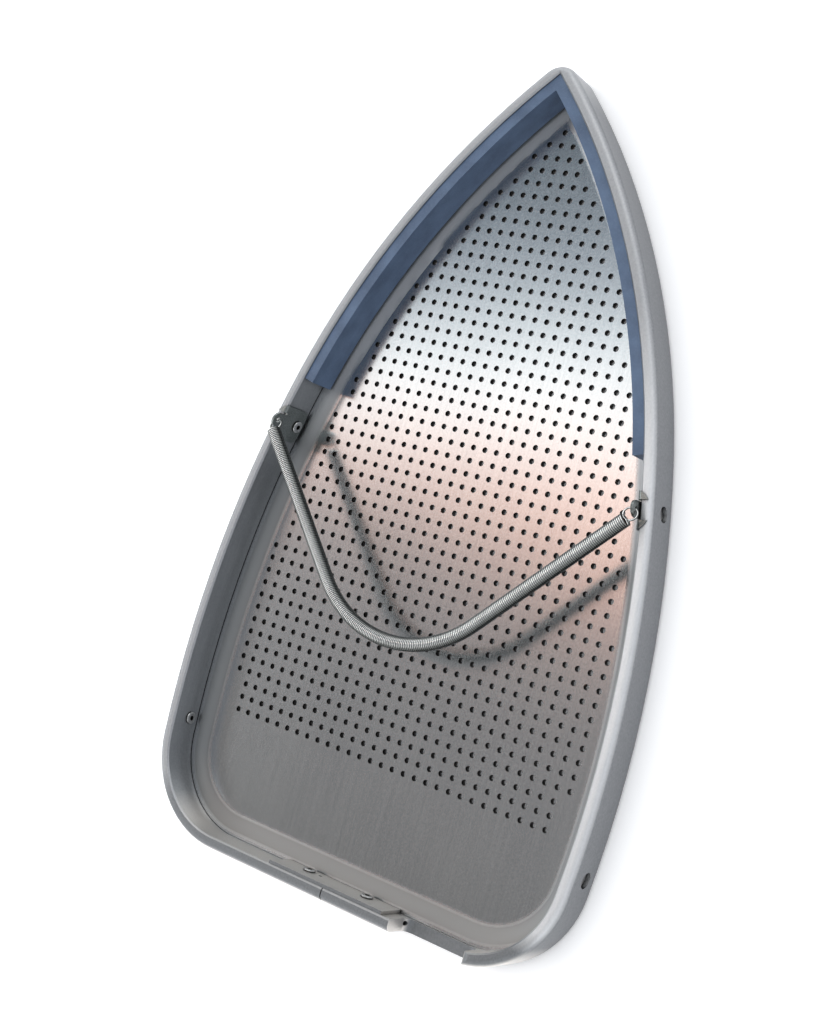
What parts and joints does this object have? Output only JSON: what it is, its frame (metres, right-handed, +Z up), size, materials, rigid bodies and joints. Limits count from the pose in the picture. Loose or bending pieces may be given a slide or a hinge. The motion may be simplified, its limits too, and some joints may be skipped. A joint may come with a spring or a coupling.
{
  "type": "iron shoe cover",
  "caption": "Pointed shallow shoe that slips under a pressing iron: riveted metal rim, perforated plate on a low-friction glide sheet, and a swinging coil-spring strap across it.",
  "frame": {"origin": "middle of the cover's length and width, on the flat surface that the glide sheet rests on", "axes": "+X to the right seen from above, +Y from the straight heel towards the pointed nose, +Z up out of the open side"},
  "size_m": [0.13, 0.217, 0.0171],
  "materials": {
    "frame_metal": "satin mill finish with rounded edges and fine handling marks",
    "plate_metal": "satin rolled sheet with fine lengthwise streaks",
    "glide_sheet": "smooth waxy low-friction sheet",
    "strip_rubber": "smooth matt blue-grey silicone",
    "spring_wire": "drawn spring wire, close wound",
    "tab_steel": "pressed sheet steel, plain",
    "rivet_metal": "plain, bright where rolled over"
  },
  "bodies": {
    "cover": {"frame": "frame_metal", "splice_plate": "frame_metal", "sole_plate": "plate_metal", "glide_sole": "glide_sheet", "nose_strip_left": "strip_rubber", "nose_strip_right": "strip_rubber", "spring_tab_left": "tab_steel", "spring_tab_right": "tab_steel", "tab_rivet_left": "rivet_metal", "tab_rivet_right": "rivet_metal", "side_rivet_left": "rivet_metal", "side_rivet_right": "rivet_metal", "splice_rivet_left": "rivet_metal", "splice_rivet_right": "rivet_metal"},
    "spring": {"spring": "spring_wire"}
  },
  "joints": [
    {"name": "spring_swing", "type": "hinge", "parent": "cover", "child": "spring", "pos_m": [0, 0.00463, 0.0139], "axis": [-1, 0, 0], "range_deg": [-12, 135]}
  ]
}
